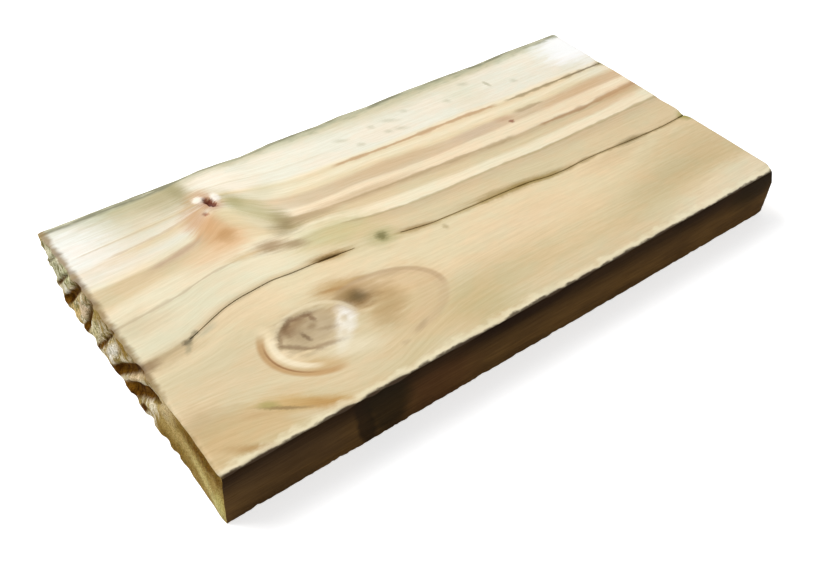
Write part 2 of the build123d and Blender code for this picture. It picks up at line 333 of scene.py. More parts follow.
for top_place, foot_place, low, high, breadth, depth, stain_and_shade in FURROWS:
    centre = foot_place + (top_place - foot_place) * rise_share
    here = 1 - ease(np.abs(across - centre) / breadth + 0.2 * crumbs + 0.15 * lumps, 0.3, 1.3)
    here *= ease(height, low - 2, low + 2) * (1 - ease(height, high - 3, high + 2))
    cut_in = here * depth * (1 + 0.25 * lumps) * (1 - 0.6 * ease(height, 19, THICKNESS))
    end_depth = np.maximum(end_depth, cut_in)
    furrow_stain_and_shade = np.maximum(furrow_stain_and_shade, here * stain_and_shade * (1 - 0.25 * ease(height, 8, 20) + 0.2 * lumps))
notches = np.zeros(len(along))
for notch_place, breadth, depth in FOOT_NOTCHES:
    notches = np.maximum(notches, depth * arch(across - notch_place, breadth))
foot = ease(across, 20, 26) * (1 - ease(height, 0.5, 5.5))
end_depth = end_depth * (1 - foot) + foot * notches
hollow_face = arch(across - 24, 20)
end_depth += (1 - torn) * (0.45 * hollow_face + 0.10 * lumps + 0.06 * crumbs + 0.3 * bell(across, 1.5))
end_depth += (1 - torn) * 0.3 * ease(height, 21, 24.5)

# The low back corner of the torn end is broken away, and splinters stand out of the break.
# Each splinter is (across, up, half breadth).
DEEPEST_BREAK = 5.0
SPLINTERS = [(138.4, 19, 2.8), (136.6, 11, 2.9), (130.8, 4.0, 2.9), (123.6, 0.6, 3.2)]
corner_depth = DEEPEST_BREAK * np.clip(1 - (WIDTH - across) / 19 - height / 27, 0, 1)
for splinter_across, splinter_up, breadth in SPLINTERS:
    from_splinter = np.hypot(across - splinter_across, height - splinter_up) / breadth
    corner_depth *= 1 - np.clip(1 - from_splinter, 0, 1) ** 0.8
end_depth = np.clip(np.maximum(end_depth, corner_depth * (1 + 0.2 * crumbs)), 0, DEEPEST_BREAK)
along_out = along + end_depth * near(along, BREAK_REACH) ** 1.6

# The sawn end: a little out of square, with nicks where the checks run out and arrises
# that the saw left slightly furred.
END_SKEW = 3.0
setback = END_SKEW * across / WIDTH
setback += 0.12 + 0.10 * grain_noise((400, 3.0, 400), 13) + 0.08 * grain_noise((400, 9.0, 2.0), 14)
for place, breadth, depth in ((52.6, 2.4, 1.3), (108, 4.0, 0.7), (66, 5, 0.4)):
    setback += depth * bell(across - place, breadth) * ease(height, 10, 24)
setback += 0.3 * (1 - ease(np.minimum(height, THICKNESS - height), 0, 0.8))
along_out -= np.maximum(setback, 0) * np.clip((along - (LENGTH - 14)) / 14, 0, 1) ** 1.5

# The long edges: the front one rough from the saw, the back one plain. Only the last few
# millimetres move, so the faces keep their rings.
EDGE_REACH = 3
front_in = 0.10 + 0.09 * grain_noise((11, 400, 3.2), 15) + 0.07 * grain_noise((3.0, 400, 1.2), 16)
front_in += 0.25 * near(THICKNESS - height, 0.8)
back_in = 0.2 + 0.16 * grain_noise((14, 400, 4), 18) + 0.2 * near(height, 1.2) ** 2
across_out = across + np.maximum(front_in, 0) * near(across, EDGE_REACH)
across_out -= np.maximum(back_in, 0) * near(WIDTH - across, EDGE_REACH)

# The top front corner of the sawn end is gone: a plane cuts the three edges at the corner
# by this much (along, across, upright).
TOP_FRONT_LOSS = (4.0, 7.0, 8.5)
inside_corner = across_out / TOP_FRONT_LOSS[1] + (THICKNESS - up) / TOP_FRONT_LOSS[2]
along_out = np.minimum(along_out, LENGTH - TOP_FRONT_LOSS[0] * (1 - inside_corner))

placed = np.column_stack([np.clip(values, 0, limit) for values, limit in (
    (along_out, LENGTH), (across_out, WIDTH), (up, THICKNESS))])
placed = placed * MM + np.array(board_low)
board_mesh.vertices.foreach_set("co", placed.ravel())

# What the finishes follow: the net's own lie of the grain, the growth ring each point
# belongs to, and how far it lies in a pocket of the break, the wane, a check or a chip.
PITH_ACROSS = 25.0
PITH_BELOW = 40.0
heart_radius = np.hypot(ring_place - PITH_ACROSS, height + PITH_BELOW)
face_radius = THICKNESS + PITH_BELOW
outer = PITH_ACROSS + np.sqrt(np.clip(heart_radius ** 2 - face_radius ** 2, 0, None))
ring = np.where(heart_radius >= face_radius, outer, PITH_ACROSS - 2.0 * (face_radius - heart_radius))


def store(name, kind, values):
    """Keep values for every vertex under this name."""
    attribute = board_mesh.attributes.new(name, kind, "POINT")
    held = "vector" if kind == "FLOAT_VECTOR" else "value"
    attribute.data.foreach_set(held, np.asarray(values, dtype=float).ravel())


store("figure", "FLOAT_VECTOR", np.column_stack((along, ring_place, height)))
store("ring", "FLOAT", ring)
store("furrow_stain_and_shade", "FLOAT", furrow_stain_and_shade)
store("wane", "FLOAT", into_wane)
store("check_wall", "FLOAT", check_wall * ease(height, THICKNESS - 12, THICKNESS - 4))
store("front_loss", "FLOAT", front_loss)

# The board is one object on the root body, and it stands in for the plain solid of the same
# piece of wood.
board = bpy.data.objects.new("board", board_mesh)
bpy.context.scene.collection.objects.link(board)
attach(board, "root")
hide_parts("plank")

# Fibre: long fine streaks that follow the grain, on every surface of the board but the torn
# end. The streaks tint the wood, and their relief raises it.


def add_node(tree, kind, sockets=None, **settings):
    """A node with its settings, its sockets set or linked."""
    made = tree.nodes.new(kind)
    for name, value in settings.items():
        setattr(made, name, value)
    for name, value in (sockets or {}).items():
        if isinstance(value, bpy.types.NodeSocket):
            tree.links.new(value, made.inputs[name])
        else:
            made.inputs[name].default_value = value
    return made


def new_group(name, vectors, values, results):
    """An empty shader group, with its sockets for what it is given and for its results."""
    group = bpy.data.node_groups.new(name, "ShaderNodeTree")
    for names, in_out, kind in ((vectors, "INPUT", "NodeSocketVector"), (values, "INPUT", "NodeSocketFloat"),
                                (results, "OUTPUT", "NodeSocketFloat")):
        for socket in names:
            group.interface.new_socket(socket, in_out=in_out, socket_type=kind)
    entry = group.nodes.new("NodeGroupInput")
    leave = group.nodes.new("NodeGroupOutput")
    return group, entry.outputs, leave.inputs


def maths(tree, operation, *values):
    """One sum, as a socket."""
    made = add_node(tree, "ShaderNodeMath", dict(enumerate(values)), operation=operation)
    return made.outputs[0]


def vector_maths(tree, operation, *values):
    """One vector sum, as a socket."""
    made = add_node(tree, "ShaderNodeVectorMath", dict(enumerate(values)), operation=operation)
    return made.outputs["Value" if operation in ("LENGTH", "DOT_PRODUCT") else "Vector"]


def soft_noise(tree, place, stretch, detail, roughness=0.5):
    """Noise over a place that is stretched by these shares, as a node."""
    stretched = vector_maths(tree, "MULTIPLY", place, stretch)
    return add_node(tree, "ShaderNodeTexNoise", {"Vector": stretched, "Scale": 1.0, "Detail": detail,
                                                 "Roughness": roughness})


def mean_of(tree, first, second):
    """The value halfway between two."""
    return maths(tree, "MULTIPLY_ADD", first, 0.5, maths(tree, "MULTIPLY", second, 0.5))


fibre_group, given, result = new_group("wood fibre", ["Place"], ["Length", "Breadth"], ["Streak", "Relief"])
size = add_node(fibre_group, "ShaderNodeCombineXYZ",
                {"X": given["Length"], "Y": given["Breadth"], "Z": given["Breadth"]})
drawn_out = vector_maths(fibre_group, "DIVIDE", given["Place"], size.outputs[0])
streaks = add_node(fibre_group, "ShaderNodeTexNoise",
                   {"Vector": drawn_out, "Scale": 1.0, "Detail": 3.0, "Roughness": 0.6})
fine_streaks = soft_noise(fibre_group, drawn_out, (2.2, 3.4, 3.4), 2.0, 0.6)
fibre_group.links.new(streaks.outputs["Fac"], result["Streak"])
fibre_relief = mean_of(fibre_group, fine_streaks.outputs["Fac"], streaks.outputs["Fac"])
fibre_group.links.new(fibre_relief, result["Relief"])


def fibre(tree, place, length, breadth):
    """Fibre of this length and breadth, as a node with its streaks and its relief."""
    return add_node(tree, "ShaderNodeGroup", {"Place": place, "Length": length, "Breadth": breadth},
                    node_tree=fibre_group)


# A spot: a soft oval stain, smudge, hole mouth, painted highlight or painted shade, anywhere
# on a face. Its roughness eats into its rim.


def spread(tree, value, low, high, out_low=0.0, out_high=1.0, smooth=True):
    """A value carried from one range to another, held at the ends."""
    made = add_node(tree, "ShaderNodeMapRange", {"Value": value, "From Min": low, "From Max": high,
                                                 "To Min": out_low, "To Max": out_high},
                    interpolation_type="SMOOTHSTEP" if smooth else "LINEAR")
    return made.outputs["Result"]


spot_group, given, result = new_group(
    "spot of stain or painted light", ["Place", "Centre", "Size"], ["Turn", "Softness", "Strength", "Rough"], ["Mask"])
from_centre = vector_maths(spot_group, "SUBTRACT", given["Place"], given["Centre"])
turned = add_node(spot_group, "ShaderNodeVectorRotate", {"Vector": from_centre, "Angle": given["Turn"]},
                  rotation_type="Z_AXIS")
scaled = vector_maths(spot_group, "DIVIDE", turned.outputs[0], given["Size"])
radius = maths(spot_group, "ADD", vector_maths(spot_group, "LENGTH", scaled), given["Rough"])
inner_rim = maths(spot_group, "SUBTRACT", 1.0, given["Softness"])
outer_rim = maths(spot_group, "ADD", 1.0, given["Softness"])
spot_mask = spread(spot_group, radius, inner_rim, outer_rim, 1.0, 0.0)
spot_group.links.new(maths(spot_group, "MULTIPLY", spot_mask, given["Strength"]), result["Mask"])

# A ring line: a thin dark line of late wood or an opened ring, between two places along.
# Its breadth comes and goes.


def parts_of(tree, vector):
    """How far along, across and up a place is, as the sockets X, Y and Z."""
    return add_node(tree, "ShaderNodeSeparateXYZ", {"Vector": vector}).outputs


line_group, given, result = new_group(
    "ring line", ["Figure"], ["Ring", "Breadth", "Start", "End", "Strength"], ["Mask"])
parts = parts_of(line_group, given["Figure"])
uneven = soft_noise(line_group, given["Figure"], (0.12, 0.1, 0.0), 3.0)
uneven_share = spread(line_group, uneven.outputs["Fac"], 0.3, 0.7, 0.45, 1.5)
breadth = maths(line_group, "MULTIPLY", given["Breadth"], uneven_share)
off_line = maths(line_group, "ABSOLUTE", maths(line_group, "SUBTRACT", parts["Y"], given["Ring"]))
breadths_off = maths(line_group, "DIVIDE", off_line, breadth)
on_line = maths(line_group, "SUBTRACT", 1.0, spread(line_group, breadths_off, 0.2, 1.0))
LINE_FADE = 6.0
begun_at = maths(line_group, "ADD", given["Start"], LINE_FADE)
ending_at = maths(line_group, "SUBTRACT", given["End"], LINE_FADE)
begun = spread(line_group, parts["X"], given["Start"], begun_at)
over = spread(line_group, parts["X"], ending_at, given["End"], 1.0, 0.0)
mask = maths(line_group, "MULTIPLY", maths(line_group, "MULTIPLY", on_line, begun),
             maths(line_group, "MULTIPLY", over, given["Strength"]))
line_group.links.new(mask, result["Mask"])

# Growth rings: the run of early and late wood, from the ring each point belongs to.
# Each band is (ring, colour), and one blends into the next.


def srgb(red, green, blue):
    """A colour as seen on the wood, from 0 to 255, as the shader wants it."""
    channels = [value / 255 for value in (red, green, blue)]
    linear = [c / 12.92 if c <= 0.04045 else ((c + 0.055) / 1.055) ** 2.4 for c in channels]
    return (*linear, 1.0)


CREAM = srgb(246, 235, 208)
WARM_CREAM = srgb(245, 228, 199)
STRAW = srgb(235, 218, 183)
HONEY = srgb(216, 198, 158)
SAND = srgb(223, 206, 170)
TAN = srgb(211, 191, 157)
DEEP_TAN = srgb(202, 180, 146)
ROSE_TAN = srgb(221, 199, 168)
PALE = srgb(243, 239, 225)
PALE_SAP = srgb(238, 231, 204)
GREY_SAP = srgb(217, 211, 186)
RING_LOW = -52.0

SAWN_SIDE_BANDS = [
    (0, SAND), (8, SAND), (14, HONEY), (22, HONEY), (30, SAND), (38, STRAW), (49, STRAW), (51.2, HONEY),
    (52.5, SAND), (62, SAND), (69.6, TAN), (70.6, CREAM), (75.4, CREAM), (77.4, SAND), (80, SAND),
    (83.4, DEEP_TAN), (84.6, WARM_CREAM), (90.2, WARM_CREAM), (91.8, ROSE_TAN), (96.4, ROSE_TAN),
    (98.4, STRAW), (102, CREAM), (105.2, STRAW), (107.4, CREAM), (110, PALE), (130, PALE), (135, GREY_SAP)]
TORN_SIDE_BANDS = [
    (0, HONEY), (14, HONEY), (20, SAND), (40, SAND), (46, STRAW), (50.6, STRAW), (51.3, TAN), (52, SAND),
    (55, PALE_SAP), (69.6, PALE_SAP), (71, CREAM), (75.5, CREAM), (77.6, STRAW), (80, SAND), (83.6, SAND),
    (85, CREAM), (90, PALE), (96, STRAW), (98.6, PALE), (104, PALE), (106, STRAW), (110, PALE),
    (130, GREY_SAP), (136, GREY_SAP)]


def band_ramp(tree, ring_socket, bands):
    """The colour of these bands at each ring."""
    along_ramp = spread(tree, ring_socket, RING_LOW, WIDTH, smooth=False)
    made = add_node(tree, "ShaderNodeValToRGB", {"Fac": along_ramp})
    elements = made.color_ramp.elements
    while len(elements) < len(bands):
        elements.new(0.5)
    for element, (place, colour) in zip(elements, bands):
        element.position = (place - RING_LOW) / (WIDTH - RING_LOW)
        element.color = colour
    return made.outputs["Color"]


# The top face, in the clear light tones of planed and rained-on softwood. Its rings have
# one run of colours on the torn side of the knots and another on the sawn side.


def new_finish(name):
    """A material with its shader and the board's place in millimetres."""
    material = bpy.data.materials.new(name)
    material.use_nodes = True
    tree = material.node_tree
    coordinates = add_node(tree, "ShaderNodeTexCoord").outputs["Object"]
    place = add_node(tree, "ShaderNodeMapping",
                     {"Vector": coordinates, "Scale": (1 / MM,) * 3, "Location": -board_low / MM})
    return material, tree, tree.nodes["Principled BSDF"], place.outputs[0]


def kept_value(tree, name):
    """A value that the net keeps for each of its points."""
    return add_node(tree, "ShaderNodeAttribute", attribute_name=name).outputs["Fac"]


def blend(tree, share, below, above, mode="MIX"):
    """One colour laid over another."""
    made = add_node(tree, "ShaderNodeMix", {"Factor": share}, data_type="RGBA", blend_type=mode)
    for socket, value in ((made.inputs[6], below), (made.inputs[7], above)):
        if isinstance(value, bpy.types.NodeSocket):
            tree.links.new(value, socket)
        else:
            socket.default_value = value
    return made.outputs[2]


def swing(tree, noise_node, reach, value=0.0):
    """A value pushed up and down by a noise, over this reach."""
    centred = maths(tree, "SUBTRACT", noise_node.outputs["Fac"], 0.5)
    return maths(tree, "MULTIPLY_ADD", centred, reach, value)


def between(tree, noise_node, low, high, first, second):
    """One colour turning into another as a noise climbs from low to high."""
    return blend(tree, spread(tree, noise_node.outputs["Fac"], low, high), srgb(*first), srgb(*second))


def shade(tree, colour, share, tint):
    """A colour multiplied by this tint where the share is 0, and left alone where it is 1."""
    return blend(tree, 1.0, colour, blend(tree, share, srgb(*tint), (1, 1, 1, 1)), "MULTIPLY")


def warped(tree, place, stretch, detail, reach):
    """A place pushed about by a noise, so that what is laid on it gets an uneven outline."""
    cloud = soft_noise(tree, place, stretch, detail)
    push = vector_maths(tree, "SUBTRACT", cloud.outputs["Color"], (0.5, 0.5, 0.5))
    return vector_maths(tree, "MULTIPLY_ADD", push, reach, place)


def dress(tree, shader, colour, relief, strength, depth, specular):
    """The colour, relief and specular level of a finish. The depth is in millimetres."""
    bump = add_node(tree, "ShaderNodeBump", {"Height": relief, "Strength": strength, "Distance": depth * MM})
    tree.links.new(bump.outputs[0], shader.inputs["Normal"])
    tree.links.new(colour, shader.inputs["Base Color"])
    shader.inputs["Specular IOR Level"].default_value = specular


ANY_HEIGHT = 1000


def lay_spots(tree, colour, place, rough, spots):
    """Spots laid one over another. Each is (centre, size, turn, softness, colour, strength)."""
    for centre, size, turn, softness, tint, strength in spots:
        spot = add_node(tree, "ShaderNodeGroup",
                        {"Place": place, "Rough": rough, "Centre": (*centre, 0), "Size": (*size, ANY_HEIGHT),
                         "Turn": math.radians(-turn), "Softness": softness, "Strength": strength},
                        node_tree=spot_group)
        colour = blend(tree, spot.outputs["Mask"], colour, srgb(*tint))
    return colour


def lay_lines(tree, colour, figure, lines):
    """Ring lines laid over the colour. Each is (ring, breadth, start, end, colour, strength)."""
    for place, breadth, start, end, tint, strength in lines:
        line = add_node(tree, "ShaderNodeGroup",
                        {"Figure": figure, "Ring": place, "Breadth": breadth, "Start": start, "End": end,
                         "Strength": strength}, node_tree=line_group)
        colour = blend(tree, line.outputs["Mask"], colour, srgb(*tint))
    return colour


face, tree, shader, place = new_finish("sawn_face")
figure = add_node(tree, "ShaderNodeAttribute", attribute_name="figure").outputs["Vector"]
figure_parts = parts_of(tree, figure)
ring_drift = swing(tree, soft_noise(tree, figure, (0.03, 0.12, 0.1), 3.0), 1.6, figure_parts["Y"])
torn_side = band_ramp(tree, ring_drift, TORN_SIDE_BANDS)
sawn_side = band_ramp(tree, ring_drift, SAWN_SIDE_BANDS)
colour = blend(tree, spread(tree, figure_parts["X"], 62, 100), torn_side, sawn_side)
loose_place = warped(tree, place, (0.28, 0.4, 0.3), 3.0, (5.0, 2.6, 0.0))
rough_place = warped(tree, place, (0.9, 1.3, 1.0), 2.0, (1.6, 1.1, 0.0))
rough = swing(tree, soft_noise(tree, figure, (0.12, 0.75, 0.3), 4.0), 1.1)

BROAD_TONES_AND_HIGHLIGHTS = [
    ((246, 30), (44, 15), 12, 0.5, (208, 188, 145), 0.6),
    ((256, 6), (42, 8), 8, 0.5, (238, 226, 198), 0.85),
    ((196, 34), (38, 16), 10, 0.8, (240, 219, 181), 0.6),
    ((224, 47), (16, 3.4), 6, 0.9, (214, 190, 150), 0.5),
    ((117, 10), (13, 11), 0, 0.8, (202, 185, 138), 0.6),
    ((155, 37), (46, 10), 0, 0.8, (237, 218, 180), 0.5),
    ((22, 40), (22, 15), 0, 0.8, (217, 202, 168), 0.5),
    ((5, 21), (11, 6), 0, 0.8, (186, 161, 119), 0.6),
    ((12, 12), (26, 8), -4, 0.8, (205, 178, 130), 0.65),
    ((8, 73), (11, 5), 0, 0.9, (214, 200, 166), 0.55),
    ((34, 128), (26, 11), 0, 0.9, (222, 213, 184), 0.7),
    ((33, 136), (27, 6), 0, 0.9, (188, 190, 156), 0.8),
    # The near-white spots at (5, 122), (70, 131) and (273, 125) are painted highlights on the back corners.
    ((5, 122), (16, 15), -30, 0.9, (255, 255, 253), 1.0),
    ((70, 131), (11, 6.5), -8, 0.7, (252, 248, 236), 0.85),
    ((97, 124), (18, 9), 0, 0.9, (247, 243, 228), 0.6),
    ((273, 125), (14, 14), 20, 0.6, (255, 255, 255), 1.0),
    ((246, 130), (14, 8), 0, 0.9, (246, 244, 230), 0.6),
    ((272, 101), (13, 3.4), 0, 0.9, (244, 238, 222), 0.6),
    ((268, 112), (12, 3.6), 4, 0.8, (226, 216, 184), 0.6),
    ((200, 124), (9, 12), 0, 0.9, (228, 228, 206), 0.5),
    ((160, 133), (34, 5), 0, 0.9, (216, 210, 182), 0.6),
    ((234, 25), (24, 4.6), 6, 0.9, (206, 188, 148), 0.5),
    ((238, 12), (30, 5), 4, 0.9, (236, 222, 188), 0.5),
    ((160, 38), (24, 6), 0, 0.9, (236, 215, 182), 0.5),
    ((78, 95), (5, 7), 20, 0.9, (184, 174, 138), 0.5),
    ((215, 137), (70, 3.4), 0, 0.9, (192, 192, 162), 0.75),
    ((112, 137.6), (50, 2.8), 0, 0.9, (202, 198, 168), 0.65),
    ((95, 75), (16, 7), -6, 0.8, (206, 196, 146), 0.75),
    ((100, 60), (12, 3.4), -6, 0.9, (230, 214, 178), 0.5),
    ((99, 32), (15, 12.5), 0, 0.5, (222, 194, 150), 0.7),
    ((86, 33), (8, 9), 0, 0.8, (198, 170, 124), 0.6),
]
SMALL_KNOT_MARKS = [
    ((49, 133), (8, 10), 8, 0.9, (186, 174, 134), 0.75),
    ((55.6, 131), (3.2, 11), 8, 0.9, (156, 146, 100), 0.65),
    ((39, 97.6), (11, 2), 11, 0.9, (200, 170, 142), 0.6),
    ((53, 92), (14, 6), 10, 0.8, (238, 204, 164), 0.75),
    ((55, 110), (6, 9), 0, 0.8, (206, 156, 112), 0.7),
    ((57, 100), (6.6, 9), 8, 0.9, (218, 172, 122), 0.85),
    ((58.6, 97), (3.2, 3.4), 0, 0.8, (184, 140, 84), 0.6),
    ((66, 106), (3.4, 9), 22, 0.8, (228, 211, 170), 0.6),
    ((74.6, 106), (5.4, 14.5), 23, 0.7, (186, 178, 132), 0.8),
    ((71.4, 114), (3.0, 5), 15, 0.8, (158, 150, 96), 0.5),
    ((74, 95), (2.4, 11), 30, 0.8, (236, 226, 196), 0.5),
    ((81, 88.6), (6.0, 4.0), 0, 0.9, (144, 126, 84), 0.75),
    ((82, 93), (3.2, 5), 10, 0.9, (158, 142, 98), 0.6),
    ((92.5, 88.4), (9, 2.2), -10, 0.8, (172, 148, 110), 0.65),
    ((118, 89), (22, 1.8), -3, 0.9, (196, 170, 132), 0.6),
    ((69, 82), (6, 3.2), -14, 0.8, (158, 130, 92), 0.85),
    ((77.8, 78), (4.4, 2.4), -18, 0.8, (164, 140, 104), 0.8),
    ((58, 82.8), (6, 1.6), -4, 0.8, (208, 176, 124), 0.6),
    ((84, 113), (6, 4), 0, 0.9, (214, 206, 172), 0.6),
    ((61, 124), (5, 3.8), 0, 0.8, (212, 174, 130), 0.65),
    ((63.4, 118), (3.8, 6.0), 17, 0.6, (168, 98, 56), 0.6),
    # The near-white spots at (60.2, 121.7) and (66.8, 119.6) are painted highlights on the tufts beside the
    # hole, and the hole's darker core at (63.9, 117.4) is partly painted shade.
    ((60.2, 121.7), (2.4, 2.1), 0, 0.5, (255, 246, 232), 0.95),
    ((66.8, 119.6), (1.7, 3.0), 0, 0.5, (252, 247, 238), 0.85),
    ((63.6, 118.0), (1.7, 3.6), 17, 0.4, (122, 58, 28), 1.0),
    ((63.9, 117.4), (0.9, 2.2), 17, 0.5, (74, 28, 10), 0.85),
    ((58.5, 112.5), (1.2, 1.1), 0, 0.7, (158, 92, 58), 0.75),
]
CHECK_MARKS = [
    ((9, 53.3), (13, 3.2), 3, 0.8, (188, 164, 122), 0.6),
    ((3.2, 53.2), (4.2, 2.1), 5, 0.8, (128, 98, 58), 0.7),
    ((19, 56.2), (1.5, 1.3), 0, 0.6, (106, 94, 66), 0.85),
    ((21.4, 57.1), (1.7, 0.8), 30, 0.7, (98, 88, 60), 0.85),
    ((24, 58.6), (1.3, 1.1), 0, 0.7, (124, 118, 92), 0.7),
    ((18.6, 53.4), (2.6, 0.9), 50, 0.9, (150, 142, 112), 0.6),
    ((28, 57.4), (3.4, 1.4), 20, 0.9, (186, 180, 152), 0.6),
    ((85, 64.5), (8, 2.0), -8, 0.8, (160, 126, 62), 0.8),
    ((84, 64.7), (5.2, 0.8), -8, 0.8, (104, 80, 34), 0.8),
    ((108.5, 62.4), (5.2, 4.6), 0, 0.9, (176, 172, 120), 0.7),
    ((108.6, 62.4), (2.3, 2.2), 0, 0.8, (112, 106, 56), 0.85),
    ((124, 59.0), (7, 1.3), -12, 0.8, (146, 116, 66), 0.6),
    ((176, 55.6), (24, 2.1), -6, 0.8, (150, 126, 66), 0.7),
    ((240, 51.6), (6.4, 1.7), 0, 0.8, (132, 112, 70), 0.7),
    ((276.5, 50.6), (3.6, 3.2), 0, 0.7, (158, 152, 68), 0.8),
    ((277, 105.2), (3.6, 2.6), 0, 0.8, (148, 136, 72), 0.7),
    ((133, 52.8), (1.0, 1.4), 0, 0.8, (176, 156, 112), 0.6),
]
LARGE_KNOT_MARKS = [
    ((78, 49.0), (8, 3.0), -14, 0.8, (204, 170, 114), 0.8),
    ((86, 44), (4.2, 5), 0, 0.9, (190, 160, 112), 0.7),
    ((84.6, 27), (5.0, 5), -12, 0.9, (186, 158, 110), 0.7),
    ((91, 34), (5.5, 6), -20, 0.9, (184, 156, 108), 0.6),
    ((98, 44), (5, 1.7), -16, 0.8, (192, 166, 126), 0.6),
    ((92, 15.8), (3.8, 1.1), 27, 0.8, (180, 158, 120), 0.7),
    ((82, 12.6), (1.5, 0.9), 0, 0.8, (196, 172, 136), 0.5),
    ((50.5, 21.5), (8, 2.8), -24, 0.8, (204, 170, 116), 0.7),
    # The cream spot at (44.6, 36) is partly a painted highlight on the knot's lip.
    ((44.6, 36), (2.6, 9), 10, 0.8, (250, 230, 194), 0.7),
    ((57.6, 37.2), (14.0, 9.4), 8, 0.25, (196, 176, 140), 0.95),
    ((63.5, 36.5), (6.6, 7.4), 20, 0.8, (184, 164, 132), 0.6),
    ((54, 36.5), (3.4, 4.4), -20, 0.9, (170, 148, 114), 0.6),
    ((54.6, 42.4), (6.0, 2.2), 10, 0.9, (146, 116, 78), 0.75),
    ((66, 22), (9, 3.6), -22, 0.9, (238, 226, 196), 0.7),
    ((73, 37), (3.0, 5.8), -28, 0.9, (254, 252, 246), 0.9),
    ((69, 31), (3.0, 4.6), -40, 0.9, (246, 241, 228), 0.75),
    ((64.6, 26), (4.6, 2.0), 40, 0.9, (242, 235, 214), 0.75),
    ((70.6, 34.4), (1.3, 1.9), -20, 0.8, (212, 196, 164), 0.7),
    ((66.8, 28.6), (1.7, 1.1), 30, 0.8, (218, 202, 170), 0.6),
    # The dark strokes in the next lines mark gaps and cracks round the heart, darkened partly as painted
    # shade where the heart sinks.
    ((51.4, 43.2), (3.6, 1.1), 38, 0.8, (106, 74, 42), 0.75),
    ((55.4, 44.6), (2.8, 0.9), -24, 0.8, (116, 82, 50), 0.7),
    ((60.4, 44.2), (3.4, 1.0), -8, 0.8, (116, 82, 50), 0.7),
    ((61.6, 42), (0.9, 2.2), 10, 0.7, (118, 86, 52), 0.7),
    ((50.8, 40.2), (2.8, 2.6), 0, 0.9, (132, 102, 66), 0.75),
    ((54.8, 35), (0.9, 2.5), 15, 0.6, (112, 86, 54), 0.7),
    ((59.4, 38.4), (1.7, 1.3), 20, 0.8, (146, 120, 84), 0.6),
    ((63.8, 34.4), (3.8, 0.8), -20, 0.9, (150, 126, 92), 0.5),
    ((50.2, 31.8), (6.4, 1.0), -40, 0.9, (118, 88, 54), 0.65),
    ((58, 28.2), (6.0, 1.0), -14, 0.9, (138, 108, 72), 0.6),
    ((46.4, 38.6), (0.9, 3.4), -28, 0.7, (140, 112, 78), 0.6),
    ((80, 44), (11, 7), -14, 0.9, (184, 150, 100), 0.75),
    ((80.6, 40.6), (6.4, 4.8), -20, 0.7, (134, 104, 58), 0.9),
    ((81.4, 41.2), (3.6, 2.4), -12, 0.7, (98, 78, 36), 0.8),
    ((76, 48.6), (7, 0.9), -16, 0.8, (172, 132, 78), 0.7),
    ((76.5, 44), (3.4, 2.4), 0, 0.9, (164, 136, 88), 0.6),
]
FRONT_MARKS = [
    ((39.5, 9), (15.5, 3.4), -33, 0.7, (204, 170, 108), 0.8),
    ((44, 6.0), (9, 2.4), -34, 0.8, (188, 144, 80), 0.75),
    ((27.4, 16.2), (3.4, 1.7), -30, 0.7, (172, 160, 96), 0.8),
    ((31.5, 12.2), (7.4, 0.7), -33, 0.7, (130, 106, 62), 0.7),
    ((22, 15.4), (5, 1.6), -20, 0.9, (196, 164, 116), 0.6),
    ((41, 3.2), (9, 2.1), -30, 0.9, (228, 214, 184), 0.45),
    ((15.5, 3.8), (8.5, 1.6), -28, 0.8, (176, 138, 80), 0.75),
]
BAND_MARKS = [
    ((202, 95.6), (4.2, 1.6), -10, 0.9, (196, 158, 124), 0.6),
    ((204.4, 92.3), (1.4, 1.1), 0, 0.5, (146, 92, 68), 0.85),
    ((264, 81.8), (15, 2.8), 3, 0.8, (202, 162, 118), 0.65),
    ((254, 94.6), (24, 2.8), 3, 0.8, (214, 178, 136), 0.65),
    ((244, 77.6), (30, 1.8), 0, 0.6, (228, 196, 158), 0.6),
    ((140, 97.6), (24, 3.0), -3, 0.6, (212, 182, 142), 0.6),
    ((186, 94.6), (14, 3.0), 0, 0.6, (208, 184, 158), 0.6),
    ((268, 88.6), (12, 1.8), 0, 0.5, (250, 236, 208), 0.7),
]
FLECKS = [
    ((131, 123), 2.4), ((148, 124), 1.4), ((158, 123.6), 3.0), ((168, 126), 1.3), ((159, 116), 2.4),
    ((137, 116), 1.4), ((153, 117), 1.6), ((205, 128), 2.0), ((190, 121), 1.4), ((228, 117), 1.4)]
fleck_marks = [(centre, (reach * 1.2, 1.2), -24, 0.9, (200, 196, 170), 0.55) for centre, reach in FLECKS]
fleck_marks.append(((215, 122), (0.9, 2.4), 10, 0.6, (190, 186, 158), 0.75))

